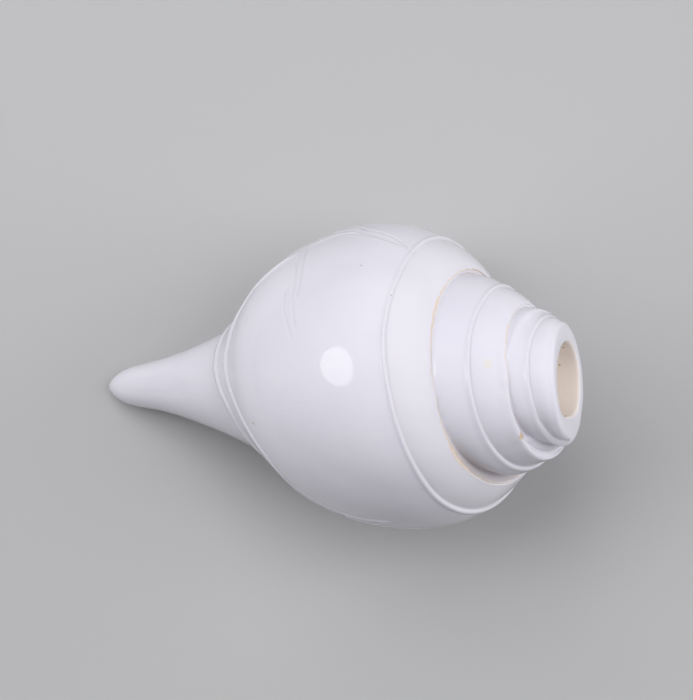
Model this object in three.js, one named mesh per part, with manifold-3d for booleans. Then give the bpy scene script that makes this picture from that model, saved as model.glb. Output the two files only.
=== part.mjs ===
// Blowing shankha: a sacred chank shell (Turbinella pyrum) with the tip of its spire cut off.
//
// The shell is first built on its own coiling axis: Z runs along the axis with the apex at the
// origin and the siphonal canal reaching down to negative Z. The outer skin is a logarithmic
// spiral ribbon. One profile, drawn from the suture to the tip of the canal, is swept backwards
// from the lip towards the apex while it shrinks by a constant ratio per turn. The hollow inside is
// a second spiral with its own section. At the end the shell is turned on to its aperture side, the
// way it lies on a table.

import * as THREE from "three";
import { ParametricGeometry } from "three/addons/geometries/ParametricGeometry.js";
import { mergeGeometries, mergeVertices } from "three/addons/utils/BufferGeometryUtils.js";
import Module from "manifold-3d";

const { degToRad } = THREE.MathUtils;
const TURN = 2 * Math.PI;

// Coil
const GROWTH_PER_TURN = 1.49; // how much larger each whorl is than the one before it
const TURNS = 3.6; // turns of outer skin, from the lip back to above the cut
const ROWS_PER_TURN = 30;
const LIP_ANGLE = degToRad(133.5); // where the outer lip ends, measured round the axis
const CANAL_LEAN = degToRad(16.1); // side to which the canal leans away from the axis

// Profile of the skin at the lip: [along, radius, z, lean, radius exponent, z exponent].
// An exponent of 1 shrinks fully with the coil, and 0 stays the same all the way round.
const SKIN = [
  [0.0, 33.0, -52.3, 0.0, 1.0, 1.0], // suture
  [0.0948, 42.1, -60.6, 0.0, 1.0, 1.0], // shoulder
  [0.1895, 33.0 * GROWTH_PER_TURN, -52.3 * GROWTH_PER_TURN, 0.0, 1.0, 1.0], // covered from here
  [0.2773, 47.7, -83.6, 0.0, 0.904, 0.854], // body whorl, just below its widest part
  [0.4043, 46.5, -93.0, 0.8, 0.911, 0.499],
  [0.5282, 39.1, -104.1, 5.2, 0.938, 0.456],
  [0.644, 26.8, -114.6, 8.6, 0.884, 0.351],
  [0.7296, 18.5, -120.8, 9.1, 0.516, 0.072], // neck, where the canal begins
  [0.8351, 11.7, -135.9, 10.9, 0.31, 0.017],
  [0.921, 8.1, -147.9, 12.3, 0.214, 0.0],
  [0.9697, 4.6, -163.8, 12.6, 0.2, 0.0],
  [1.0, 0.0, -168.9, 13.3, 0.2, 0.0], // tip of the canal
];
const COVERED = SKIN[2][0]; // the next whorl hides the profile from here on
const UPPER_COLUMNS = 8; // columns between suture and covered line
const LOWER_COLUMNS = 18; // columns between covered line and canal tip

// Section of the hollow at the lip, clockwise from its upper corner, in the same columns
const HOLLOW = [
  [35.6, -58.0, 0.0, 1.0, 1.0],
  [40.0, -63.6, 0.0, 1.0, 1.0],
  [45.2, -78.6, 0.0, 1.0, 1.0],
  [44.3, -85.2, 0.0, 0.91, 0.85],
  [42.6, -92.6, 0.8, 0.91, 0.5],
  [36.2, -101.6, 4.8, 0.94, 0.456],
  [24.6, -111.4, 8.4, 0.88, 0.35],
  [16.8, -116.6, 9.0, 0.6, 0.2],
  [12.4, -118.2, 9.0, 0.64, 0.2],
  [14.2, -112.0, 9.0, 1.06, 0.515],
  [17.4, -105.0, 8.6, 1.1, 0.68],
  [20.8, -97.5, 8.0, 1.08, 0.83],
  [27.2, -88.5, 5.0, 1.0, 0.93],
  [32.4, -79.0, 1.2, 1.0, 0.98],
  [34.0, -70.0, 0.2, 1.0, 1.0],
  [33.9, -62.5, 0.0, 1.0, 1.0],
];
const FIRST_INNER_KEY = 8; // from here on the section runs along the columella and inner wall
const HOLLOW_TURNS = 2.1; // how far the hollow winds in from the lip
const HOLLOW_PAST_LIP = degToRad(24); // the cutter runs out into the open past the lip
const HOLLOW_LIFT = 7; // how far its inner side rises clear of the shell there
const HOLLOW_COLUMNS = 20;

// Slit of the siphonal canal: [z, distance of its centre from the canal's middle, half depth,
// half width]
const SLIT = [
  [-111, 17.5, 4.5, 4.2],
  [-119, 16.5, 8.0, 3.9],
  [-128, 15.0, 7.8, 3.4],
  [-136, 12.5, 7.0, 3.0],
  [-148, 10.0, 6.1, 2.7],
  [-160, 7.8, 5.0, 2.4],
  [-166, 6.5, 4.4, 2.2],
  [-173, 5.5, 4.2, 2.0],
];
const SLIT_ANGLE = LIP_ANGLE + degToRad(9);
const SLIT_COLUMNS = 12;
const SLIT_ROWS = 12;

// Cut across the spire, and the bowl of the blow hole below it
const CUT_Z = -22.2;
const CUT_LEAN_FRONT = 0.194; // slope of the cut, falling towards the underside
const CUT_LEAN_SIDE = 0.032;
const HOLE_RADIUS = 10.9;
const HOLE_SHIFT = -0.8; // the hole sits a little to one side of the rim
const BOWL = [
  [0.0, -20.5],
  [4.5, -19.8],
  [7.6, -17.0],
  [9.4, -12.5],
  [10.4, -7.0],
  [HOLE_RADIUS, -2.5],
  [HOLE_RADIUS, 6.0],
  [0.0, 6.0],
];
const THROAT_RADIUS = 5.6; // ball that joins the bowl to the inner end of the hollow
const THROAT_REACH = 11.8;
const THROAT_Z = -40.5;

// Resting direction: the way up, given on the shell's own axes
const UP = new THREE.Vector3(0.8875, -0.1213, 0.4446).normalize();

const growthRate = Math.log(GROWTH_PER_TURN) / TURN;

// Smooth curve through a column of the key table, with uneven spacing of the keys
function throughKeys(spots, values, at) {
  const last = spots.length - 2;
  let i = 0;
  while (i < last && at > spots[i + 1]) i++;
  const gap = (j) => spots[j + 1] - spots[j];
  const rise = (j) => (values[j + 1] - values[j]) / gap(j);
  const tangent = (j) => {
    if (j === 0) return 2 * rise(0) - tangent(1);
    if (j === last + 1) return 2 * rise(last) - tangent(last);
    return (rise(j - 1) * gap(j) + rise(j) * gap(j - 1)) / (gap(j) + gap(j - 1));
  };
  const h = gap(i);
  const x = (at - spots[i]) / h;
  return (
    (2 * x ** 3 - 3 * x ** 2 + 1) * values[i] +
    (x ** 3 - 2 * x ** 2 + x) * h * tangent(i) +
    (-2 * x ** 3 + 3 * x ** 2) * values[i + 1] +
    (x ** 3 - x ** 2) * h * tangent(i + 1)
  );
}

// Size of a key at a place on the coil: exponents hold for the body whorl, and above it
// everything shrinks alike
function shrink(growth, exponent) {
  const body = Math.max(growth, -TURN);
  const above = Math.min(growth + TURN, 0);
  return Math.exp(growthRate * (exponent * body + above));
}

// Corners are rounded to a nanometre, so that the ones patches share come out equal
const settle = (length) => Math.round(length * 1e6) / 1e6;
function place(target, angle, radius, z, lean) {
  return target.set(
    settle(radius * Math.cos(angle) + lean * Math.cos(CANAL_LEAN)),
    settle(-radius * Math.sin(angle) - lean * Math.sin(CANAL_LEAN)),
    settle(z)
  );
}

// Point on the outer skin; growth is 0 at the lip and falls by one turn per whorl
const spots = SKIN.map((key) => key[0]);
const leans = SKIN.map((key) => key[3]);
function skinPoint(growth, along, target) {
  const radii = SKIN.map((key) => key[1] * shrink(growth, key[4]));
  const heights = SKIN.map((key) => key[2] * shrink(growth, key[5]));
  const end = along >= 1;
  const radius = end ? 0 : throughKeys(spots, radii, along);
  const z = end ? SKIN.at(-1)[2] : throughKeys(spots, heights, along);
  return place(target, LIP_ANGLE + growth, radius, z, throughKeys(spots, leans, along));
}

// Closed outline of the hollow at a place on the coil
function hollowSection(growth) {
  const lift = (HOLLOW_LIFT * Math.max(growth, 0)) / HOLLOW_PAST_LIP;
  const above = shrink(Math.min(growth, -TURN), 0);
  const points = HOLLOW.map(([radius, z, lean, byRadius, byZ], i) => {
    const raised = i >= FIRST_INNER_KEY ? lift : 0;
    const r = radius * shrink(growth, byRadius) + raised;
    return place(new THREE.Vector3(), LIP_ANGLE + growth, r, z * shrink(growth, byZ), lean * above);
  });
  return new THREE.CatmullRomCurve3(points, true, "centripetal");
}

// Joins patches into one closed geometry: equal corners merge, flat slivers at poles drop out
function closed(patches) {
  const plain = patches.map((patch) => {
    patch.deleteAttribute("normal");
    patch.deleteAttribute("uv");
    return patch;
  });
  const merged = mergeVertices(mergeGeometries(plain), 1e-4);
  const index = merged.index.array;
  const kept = [];
  for (let i = 0; i < index.length; i += 3) {
    const [a, b, c] = index.slice(i, i + 3);
    if (a !== b && b !== c && c !== a) kept.push(a, b, c);
  }
  merged.setIndex(kept);
  return merged;
}

const patch = (shape, columns, rows) => new ParametricGeometry(shape, columns, rows);
const { lerp } = THREE.MathUtils;

// Outer skin: coil above the covered line, base of the body whorl below it, the step at the lip,
// and a lid at the inner end, which the cut removes later
const start = -TURN * TURNS;
const coilRows = ROWS_PER_TURN * TURNS;
const lidCentre = new THREE.Vector3(0, 0, 4);
const scratch = new THREE.Vector3();
const outside = closed([
  patch((u, v, p) => skinPoint(lerp(0, start, v), COVERED * u, p), UPPER_COLUMNS, coilRows),
  patch((u, v, p) => skinPoint(lerp(0, -TURN, v), lerp(COVERED, 1, u), p), LOWER_COLUMNS, ROWS_PER_TURN),
  patch((u, v, p) => {
    skinPoint(0, COVERED * u, p);
    skinPoint(-TURN, COVERED, scratch);
    p.lerp(scratch, 1 - v);
  }, UPPER_COLUMNS, 1),
  patch((u, v, p) => {
    skinPoint(0, lerp(COVERED, 1, u), p);
    skinPoint(-TURN, lerp(COVERED, 1, u), scratch);
    p.lerp(scratch, 1 - v);
  }, LOWER_COLUMNS, 1),
  patch((u, v, p) => {
    skinPoint(lerp(start, start + TURN, v), 0, p).lerp(lidCentre, u);
  }, 1, ROWS_PER_TURN),
  patch((u, v, p) => {
    skinPoint(start, COVERED * v, p).lerp(lidCentre, 1 - u);
  }, 1, UPPER_COLUMNS),
]);

// Hollow: a closed spiral tube with a lid at each end
const hollowStart = -TURN * HOLLOW_TURNS;
const hollowRows = Math.round(ROWS_PER_TURN * HOLLOW_TURNS + 2);
const middleOf = (growth) => {
  const sum = new THREE.Vector3();
  const ring = hollowSection(growth).getPoints(HOLLOW_COLUMNS).slice(1);
  ring.forEach((point) => sum.add(point));
  return sum.divideScalar(ring.length);
};
const lid = (growth, outwards) => {
  const section = hollowSection(growth);
  const middle = middleOf(growth);
  return patch((u, v, p) => {
    section.getPoint(u % 1, p).lerp(middle, outwards ? v : 1 - v);
  }, HOLLOW_COLUMNS, 1);
};
const hollow = closed([
  patch((u, v, p) => {
    hollowSection(lerp(HOLLOW_PAST_LIP, hollowStart, v)).getPoint(u % 1, p);
  }, HOLLOW_COLUMNS, hollowRows),
  lid(hollowStart, true),
  lid(HOLLOW_PAST_LIP, false),
]);

// Slit: an open trough under the canal, kept narrow so that the canal stays strong
const slitHeights = SLIT.map((key) => key[0]).map((z) => -z);
const slitAt = (column, depth) => throughKeys(slitHeights, SLIT.map((key) => key[column]), depth);
const slitPoint = (u, v, p) => {
  const depth = lerp(slitHeights[0], slitHeights.at(-1), v);
  const turn = TURN * (u % 1);
  const outward = slitAt(1, depth) + slitAt(2, depth) * Math.cos(turn);
  const sideways = slitAt(3, depth) * Math.sin(turn);
  const lean = 9 + 0.085 * (depth - 119);
  place(p, SLIT_ANGLE, outward, -depth, lean);
  p.x -= sideways * Math.sin(SLIT_ANGLE);
  p.y -= sideways * Math.cos(SLIT_ANGLE);
};
const slitLid = (v, outwards) => {
  const middle = new THREE.Vector3();
  slitPoint(0, v, middle);
  slitPoint(0.5, v, scratch);
  middle.lerp(scratch, 0.5);
  return patch((u, w, p) => {
    slitPoint(u, v, p);
    p.lerp(middle, outwards ? w : 1 - w);
  }, SLIT_COLUMNS, 1);
};
const slit = closed([patch(slitPoint, SLIT_COLUMNS, SLIT_ROWS), slitLid(1, true), slitLid(0, false)]);

// Cut: everything above an oblique plane goes, and a bowl sinks into the flat that is left
const cutNormal = new THREE.Vector3(-CUT_LEAN_FRONT, -CUT_LEAN_SIDE, 1).normalize();
const cutTurn = new THREE.Quaternion().setFromUnitVectors(new THREE.Vector3(0, 0, 1), cutNormal);
const onCut = new THREE.Matrix4().compose(
  new THREE.Vector3(0, 0, CUT_Z), cutTurn, new THREE.Vector3(1, 1, 1)
);
const cap = closed([new THREE.BoxGeometry(90, 90, 60).translate(0, 0, 30)]).applyMatrix4(onCut);
const bowlProfile = BOWL.map(([radius, z]) => new THREE.Vector2(radius, z));
const bowl = closed([new THREE.LatheGeometry(bowlProfile, 32)])
  .rotateX(Math.PI / 2)
  .translate(0, HOLE_SHIFT, 0)
  .applyMatrix4(onCut);
const throatAt = place(new THREE.Vector3(), LIP_ANGLE + hollowStart, THROAT_REACH, THROAT_Z, 0);
const throat = closed([new THREE.IcosahedronGeometry(THROAT_RADIUS, 2)])
  .translate(throatAt.x, throatAt.y, throatAt.z);

// Solids
const wasm = await Module();
wasm.setup();
const solid = (geometry) => {
  const vertProperties = new Float32Array(geometry.attributes.position.array);
  const triVerts = new Uint32Array(geometry.index.array);
  return new wasm.Manifold(new wasm.Mesh({ numProp: 3, vertProperties, triVerts }));
};
const carved = [hollow, slit, cap, bowl, throat].reduce(
  (body, cutter) => body.subtract(solid(cutter)),
  solid(outside)
);
const { vertProperties, triVerts } = carved.getMesh();
const geometry = new THREE.BufferGeometry();
geometry.setAttribute("position", new THREE.BufferAttribute(new Float32Array(vertProperties), 3));
geometry.setIndex(Array.from(triVerts));
geometry.computeVertexNormals();

const shell = new THREE.Mesh(
  geometry,
  new THREE.MeshStandardMaterial({ color: 0xe6e4ea, roughness: 0.25, metalness: 0 })
);
shell.name = "shell";

// Lay it down: X runs towards the spire, and the box of the part stands on the origin
const forward = new THREE.Vector3(0, 0, 1).addScaledVector(UP, -UP.z).normalize();
const side = new THREE.Vector3().crossVectors(UP, forward);
shell.quaternion.setFromRotationMatrix(new THREE.Matrix4().makeBasis(forward, side, UP).invert());
shell.updateMatrixWorld(true);
const box = new THREE.Box3().setFromObject(shell, true);
const middle = box.getCenter(new THREE.Vector3());
shell.position.set(-middle.x, -middle.y, -box.min.z);

const group = new THREE.Group();
group.add(shell);

export default group;
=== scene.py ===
import math
import bpy
import bmesh
import numpy as np
from mathutils import Matrix, Vector, kdtree, noise


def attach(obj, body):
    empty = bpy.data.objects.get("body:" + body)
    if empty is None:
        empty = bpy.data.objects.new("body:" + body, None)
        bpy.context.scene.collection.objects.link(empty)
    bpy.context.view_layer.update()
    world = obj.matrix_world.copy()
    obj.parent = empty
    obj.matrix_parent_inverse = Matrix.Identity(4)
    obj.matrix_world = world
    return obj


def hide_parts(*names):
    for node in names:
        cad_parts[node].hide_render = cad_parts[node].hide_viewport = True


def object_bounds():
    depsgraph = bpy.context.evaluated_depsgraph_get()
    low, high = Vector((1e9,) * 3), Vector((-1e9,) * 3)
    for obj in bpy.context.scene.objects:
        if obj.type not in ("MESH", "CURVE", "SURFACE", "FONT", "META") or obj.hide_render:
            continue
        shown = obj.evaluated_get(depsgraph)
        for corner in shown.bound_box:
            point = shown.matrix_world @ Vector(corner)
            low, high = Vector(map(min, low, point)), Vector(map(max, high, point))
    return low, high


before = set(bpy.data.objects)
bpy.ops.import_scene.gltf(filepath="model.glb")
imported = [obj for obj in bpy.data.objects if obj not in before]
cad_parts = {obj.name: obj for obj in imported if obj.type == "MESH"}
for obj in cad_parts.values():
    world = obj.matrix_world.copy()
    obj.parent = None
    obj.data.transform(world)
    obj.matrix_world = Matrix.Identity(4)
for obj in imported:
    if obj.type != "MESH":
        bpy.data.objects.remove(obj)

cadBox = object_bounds()
scene = bpy.context.scene
scene.view_settings.view_transform = "Standard"

# The shell is worked out in millimetres on its own coiling axis (apex at zero, canal
# towards -Z) and then laid down into the frame, in metres.
coil = {
    "growthPerTurn": 1.49,
    "lipAngle": math.radians(133.5),
    "canalLean": math.radians(16.1),
    "coveredAt": 0.1895,                     # the next whorl covers the profile from here
    "restingUp": (0.8875, -0.1213, 0.4446),  # which way is up, on the shell's own axes
    "apexAt": (86.2406, -4.1707, 64.9198),   # where its apex would be in the frame, in millimetres
    "bellyReach": 10.5,      # how far along the profile the belly is averaged, in millimetres
    "bellyFrom": 14.0,       # how far down the profile that starts, and over what length
    "bellyFromOver": 9.0,
    "bellyTo": 0.5,          # where along the profile it stops, and over what part
    "bellyToOver": 0.15,
    "bellyStart": 0.5,       # angle over which it sets in where the body whorl begins
    "bellyTaps": 11,
    "bellySwell": 0.010,     # gives back what the averaging takes off the radius
    # profile at the lip: along, radius, height, lean, radius exponent, height exponent; the third
    # key is the suture one turn on, so its radius and height are filled in from the first
    "skinKeys": [
        (0.0, 33.0, -52.3, 0.0, 1.0, 1.0),
        (0.0948, 42.1, -60.6, 0.0, 1.0, 1.0),
        (0.1895, 0.0, 0.0, 0.0, 1.0, 1.0),
        (0.2773, 47.7, -83.6, 0.0, 0.904, 0.854),
        (0.4043, 46.5, -93.0, 0.8, 0.911, 0.499),
        (0.5282, 39.1, -104.1, 5.2, 0.938, 0.456),
        (0.644, 26.8, -114.6, 8.6, 0.884, 0.351),
        (0.7296, 18.5, -120.8, 9.1, 0.516, 0.072),
        (0.8351, 11.7, -135.9, 10.9, 0.31, 0.017),
        (0.921, 8.1, -147.9, 12.3, 0.214, 0.0),
        (0.9697, 4.6, -163.8, 12.6, 0.2, 0.0),
        (1.0, 0.0, -168.9, 13.3, 0.2, 0.0),
    ],
}
turn = 2 * math.pi
growthRate = math.log(coil["growthPerTurn"]) / turn
skinKeys = np.array(coil["skinKeys"])
skinKeys[2, 1:3] = skinKeys[0, 1:3] * coil["growthPerTurn"]


def throughKeys(spots, values, at):
    # smooth curve through keys; values has one column per point
    gap = np.diff(spots)[:, None]
    rise = np.diff(values, axis=0) / gap
    tangent = np.empty_like(values)
    tangent[1:-1] = (rise[:-1] * gap[1:] + rise[1:] * gap[:-1]) / (gap[:-1] + gap[1:])
    tangent[0] = 2 * rise[0] - tangent[1]
    tangent[-1] = 2 * rise[-1] - tangent[-2]
    i = np.clip(np.searchsorted(spots, at, side="right") - 1, 0, len(spots) - 2)
    column = np.arange(len(at))
    h = spots[i + 1] - spots[i]
    x = (at - spots[i]) / h
    return ((2 * x**3 - 3 * x**2 + 1) * values[i, column]
            + (x**3 - 2 * x**2 + x) * h * tangent[i, column]
            + (-2 * x**3 + 3 * x**2) * values[i + 1, column]
            + (x**3 - x**2) * h * tangent[i + 1, column])


def smoothKeys(at, spots, values):
    spots = np.array(spots, dtype=float)
    at = np.clip(at, spots[0], spots[-1])
    return throughKeys(spots, np.repeat(np.array(values, dtype=float)[:, None], len(at), 1), at)


def shrink(growth, exponent):
    # the exponent holds on the body whorl, everything above it shrinks alike
    body = np.maximum(growth, -turn)
    above = np.minimum(growth + turn, 0)
    return np.exp(growthRate * (exponent * body + above))


def place(angle, radius, height, lean):
    return np.stack([radius * np.cos(angle) + lean * math.cos(coil["canalLean"]),
                     -radius * np.sin(angle) - lean * math.sin(coil["canalLean"]),
                     height], axis=-1)


profileSteps = np.linalg.norm(np.diff(skinKeys[:, 1:3], axis=0), axis=1)
profileLength = np.concatenate([[0], np.cumsum(profileSteps)])   # down to each key, in millimetres


def bareSkin(growth, along):
    # the belly is averaged along its profile, so that it shines without a crease
    at = np.interp(along, skinKeys[:, 0], profileLength)
    reach = coil["bellyReach"] * smoothStep((at - coil["bellyFrom"]) / coil["bellyFromOver"])
    reach = reach * (1 - smoothStep((along - coil["bellyTo"]) / coil["bellyToOver"]))
    reach = reach * smoothStep((growth + turn) / coil["bellyStart"])
    alongAt = lambda tap: np.interp(at + tap * reach, profileLength, skinKeys[:, 0])
    taps = np.linspace(-1, 1, coil["bellyTaps"])
    point = sum(keyedSkin(growth, alongAt(tap), along) for tap in taps) / len(taps)
    swell = 1 + coil["bellySwell"] * reach / coil["bellyReach"]
    return point * np.stack([swell, swell, np.ones_like(swell)], axis=-1)


def keyedSkin(growth, along, paceAlong):
    column = lambda k: skinKeys[:, k][:, None]
    spots = skinKeys[:, 0]
    radius = throughKeys(spots, column(1) * shrink(growth[None, :], column(4)), along)
    height = throughKeys(spots, column(2) * shrink(growth[None, :], column(5)), along)
    lean = throughKeys(spots, np.repeat(column(3), len(growth), 1), along)
    radius = np.where(along >= 1, 0.0, radius)
    # whorls of a grown shell don't keep an even pace
    pace = growth / turn + np.minimum(paceAlong, coil["coveredAt"]) / coil["coveredAt"]
    height = height + smoothKeys(pace, coilPace["at"], coilPace["shift"])
    return place(coil["lipAngle"] + growth, radius, height, lean)


coilPace = {  # small steps along the axis in millimetres, by turns counted from the lip
    "at": [-2.6, -1.9, -1.69, -1.6, -1.5, -1.42, -1.35, -1.28,
           -1.18, -1.05, -0.9, -0.6, -0.45, -0.3, -0.12, 0.0],
    "shift": [0.2, 0.2, -0.1, -0.4, -0.45, 0.3, 0.85, 0.55,
              -0.05, -0.3, -0.45, -0.6, -0.8, -0.75, -0.4, 0.0],
}


def skinFrame(growth, along):
    # point, outward normal, direction towards the apex, millimetres per unit of along
    step = 1e-3
    low, high = np.maximum(along - step, 0), np.minimum(along + step, 1)
    point = bareSkin(growth, along)
    across = bareSkin(growth, high) - bareSkin(growth, low)
    around = bareSkin(growth + step, along) - bareSkin(growth - step, along)
    scale = np.linalg.norm(across, axis=1) / (high - low)
    normal = np.cross(around, across)
    length = np.linalg.norm(normal, axis=1)
    poor = length < 1e-9
    normal = np.where(poor[:, None], [0, 0, -1], normal / np.where(poor, 1, length)[:, None])
    upward = -across / np.linalg.norm(across, axis=1)[:, None]
    return point, normal, upward, scale


def smoothStep(x):
    x = np.clip(x, 0, 1)
    return x * x * (3 - 2 * x)


# Carved groove that winds with the coil, and the worn edge where each whorl meets the last
carving = {
    # where the groove runs: turns from the lip, along
    "grooveAlong": [(-2.7, 0.122), (-2.6, 0.122), (-2.5, 0.120), (-2.42, 0.112), (-2.28, 0.107),
                    (-2.14, 0.096), (-2.0, 0.098), (-1.58, 0.106), (-1.47, 0.108), (-1.35, 0.106),
                    (-1.25, 0.103), (-1.19, 0.097), (-1.0, 0.102), (-0.58, 0.0985), (-0.53, 0.101),
                    (-0.45, 0.0995), (-0.38, 0.101), (-0.31, 0.1055), (-0.23, 0.101), (-0.1, 0.0995),
                    (0, 0.1)],
    "finerBy": 0.35,         # the carving shrinks up the spire by this power of the coil's growth
    "grooveDepth": 0.62,
    "grooveReach": 4.5,      # how far the floor of the step runs before it is level again
    "grooveLeast": 0.45,     # width of its wall, and how much more where the groove is strong
    "grooveMore": 0.75,
    "grooveWallAt": 0.2,     # these four are shares of that width
    "grooveWallOver": 0.42,
    "grooveBeadAt": 0.72,
    "grooveBeadOver": 0.62,
    "grooveBead": 0.40,      # height of the bead on the canal side
    "deeperEnd": 0.7,        # the groove is deeper again just before the cut: how much, from which turn
    "deeperFrom": -2.42,
    "deeperOver": 0.1,
    "edgeHeight": 0.95,      # step of each whorl over the one before
    "edgeFall": 3.2,         # how far it runs before it is level again
    "edgeUneven": 0.25,
    "edgeReach": 0.8,        # how far the edge overlaps the whorl before
    "edgeReachFall": 0.9,
    "edgeColumns": 0.006,    # part of the profile that makes the wall of the edge
    "edgeSofter": 3.0,       # how much wider that is where the edge is polished round
    # how ragged the flap of the edge is: its mean, then strength, pace and seed of each waviness
    "raggedLevel": 0.7,
    "raggedWaves": [(0.20, 4.3, 7.0), (0.22, 15.0, 4.0), (0.10, 45.0, 9.0)],
    # where the flap reaches further, or less far: turns from the lip, how much in millimetres
    "edgeWave": ([-3.7, -1.0, -0.62, -0.53, -0.476, -0.43, -0.371, -0.307, -0.24, -0.17, -0.1, 0.0],
                 [0.0, 0.0, 0.0, 0.05, -0.65, 0.0, 0.5, 0.05, -0.55, -0.05, 0.0, 0.0]),
    "edgeBead": 0.38,        # rounded lip along the edge: height, distance from it, width
    "edgeBeadAt": 1.25,
    "edgeBeadOver": 0.6,
    "seamOver": 0.3,         # length over which that lip sets in: none on the seam, or it wouldn't close
    "shineAt": math.radians(9),       # where the ridges are polished highest: angle, spread, how much more
    "shineSpread": math.radians(24),
    "shineMore": 2.0,
    "gutterDepth": 0.34,     # thin polished gutter right beside the edge
    "gutterWidth": 2.1,
    "ditchDepth": 3.0,       # the older whorl is worn hollow beside the edge
    "ditchWidth": 8.0,
    "ditchWall": 0.4,        # width of its wall, and how much more beside a round edge
    "ditchWallSofter": 2.4,
    "sinkDepth": 1.0,        # older whorls sag towards their groove
    "sinkAt": 0.106,
    "smoothFrom": -1.5,      # above this turn the edge is polished into a round ridge
    "olderOver": 0.4,        # angle over which the body whorl loses what only the older whorls have
    "fadeFrom": 0.8,         # how far below the cut the edge begins to show, and over what depth
    "fadeOver": 1.8,
    # how strong all that is round the shell, by angle in degrees: polished flat on the side that shows
    "roundAt": [-180, -130, -95, -70, -48, -25, 0, 40, 75, 100, 140, 180],
    "grooves": [0.8, 0.95, 1.0, 1.0, 0.85, 0.66, 0.55, 0.52, 0.62, 0.75, 0.8, 0.8],
    "sutures": [0.5, 0.7, 0.8, 0.75, 0.55, 0.34, 0.20, 0.14, 0.30, 0.45, 0.5, 0.5],
    "reaches": [0.5, 0.4, 0.3, 0.3, 0.5, 0.9, 1.0, 1.0, 0.8, 0.6, 0.5, 0.5],
    "gutters": [0.0, 0.0, 0.0, 0.0, 0.3, 0.8, 1.0, 1.0, 0.6, 0.3, 0.0, 0.0],
    "ditches": [0.4, 0.8, 1.0, 1.0, 0.62, 0.22, 0.05, 0.03, 0.16, 0.35, 0.35, 0.4],
}


def angleAt(growth):
    # round the shell in degrees, from -180 to 180
    return (np.degrees(coil["lipAngle"] + growth) + 180) % 360 - 180


def roundTheShell(growth, name):
    return smoothKeys(angleAt(growth), carving["roundAt"], carving[name])


def shining(growth):
    angle = (coil["lipAngle"] + growth - carving["shineAt"] + math.pi) % turn - math.pi
    return np.exp(-(angle / carving["shineSpread"]) ** 2)


def wander(growth, size, seed):
    # ragged but repeatable offset along the coil, between about -1 and 1
    values = [noise.noise(Vector((g * size, seed, 0.5 * seed))) for g in growth]
    return np.array(values) * 2


def carvedSize(growth):
    return np.exp(growthRate * growth * carving["finerBy"])


def windings(growth, along, scale):
    # height of the groove and its bead, and the distance from the groove towards the canal
    turns = growth / turn
    line = smoothKeys(turns, *zip(*carving["grooveAlong"]))
    d = (along - line) * scale
    strength = roundTheShell(growth, "grooves")
    deeper = smoothStep((carving["deeperFrom"] - turns) / carving["deeperOver"])
    size = carvedSize(growth) * strength * (1 + carving["deeperEnd"] * deeper)
    wide = carving["grooveLeast"] + carving["grooveMore"] * strength
    fromBead = (d - carving["grooveBeadAt"] * wide) / (carving["grooveBeadOver"] * wide)
    bead = carving["grooveBead"] * np.exp(-fromBead ** 2) * (d > -1)
    bead = bead * (1 + carving["shineMore"] * shining(growth))
    floor = np.where(d < 0, np.exp(np.minimum(d, 0) / carving["grooveReach"]), 1)
    wall = smoothStep((d + carving["grooveWallAt"] * wide) / (carving["grooveWallOver"] * wide))
    step = -carving["grooveDepth"] * (1 - wall) * floor
    return (bead + step) * size, d


def edges(growth, along, scale, below):
    # how far the edge of a whorl stands out, less what is worn off beside the next, and how far it
    # reaches over
    covered = coil["coveredAt"]
    size = carvedSize(growth)
    faded = smoothStep((below - carving["fadeFrom"]) / carving["fadeOver"])
    older = 1 - smoothStep((growth + turn) / carving["olderOver"])
    edgeTurn = (growth + np.where(along < 0.5 * covered, 0, turn)) / turn
    soft = smoothStep((carving["smoothFrom"] - edgeTurn) / 0.03)
    wall = carving["edgeColumns"] * (1 + carving["edgeSofter"] * soft)
    past = np.maximum(along - wall, 0) * scale
    short = smoothStep((covered - along) / 0.05)

    worn = 1 + carving["edgeUneven"] * wander(growth, 3.1, 2.0)
    out = carving["edgeHeight"] * roundTheShell(growth, "sutures") * size * worn
    out = out * smoothStep(along / wall) * np.exp(-past / carving["edgeFall"]) * short
    lip = carving["edgeBead"] * shining(growth) * size * (0.9 + 0.4 * wander(growth, 6.0, 15.0))
    fromLip = (along * scale - carving["edgeBeadAt"]) / carving["edgeBeadOver"]
    out = out + lip * np.exp(-fromLip ** 2) * smoothStep(along * scale / carving["seamOver"]) * short

    ragged = carving["raggedLevel"]
    for strength, pace, seed in carving["raggedWaves"]:
        ragged = ragged + strength * wander(growth, pace, seed)
    over = carving["edgeReach"] * roundTheShell(growth, "reaches") * size * ragged
    over = (over + smoothKeys(growth / turn, *carving["edgeWave"])) * np.minimum(along / (wall * 0.5), 1)
    over = over * np.exp(-past / carving["edgeReachFall"]) * short * (1 - soft)

    before = np.maximum(covered - along, 0) * scale
    wide = carving["ditchWidth"] * np.exp(growthRate * (growth + turn) * 0.7)
    deep = smoothStep(before / (carving["ditchWall"] + carving["ditchWallSofter"] * soft))
    deep = deep * (1 - smoothStep(before / wide)) * carving["ditchDepth"] * size
    deep = deep * roundTheShell(growth, "ditches") * smoothStep(along / 0.03) * older

    gutter = (1 - smoothStep(before / carving["gutterWidth"])) * carving["gutterDepth"] * size
    gutter = gutter * roundTheShell(growth, "gutters") * (0.75 + 0.5 * wander(growth, 9.0, 12.0))
    gutter = gutter * smoothStep(before / 0.3) * (1 - smoothStep((growth + turn) / 0.2))

    sink = np.minimum(along / carving["sinkAt"], (covered - along) / (covered - carving["sinkAt"]))
    sink = np.maximum(sink, 0) * carving["sinkDepth"] * size * older
    out = (out - gutter) * faded - (deep + 0.6 * sink) * smoothStep((below - 1.2) / 4)
    return out - 0.4 * sink, over * faded


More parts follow.
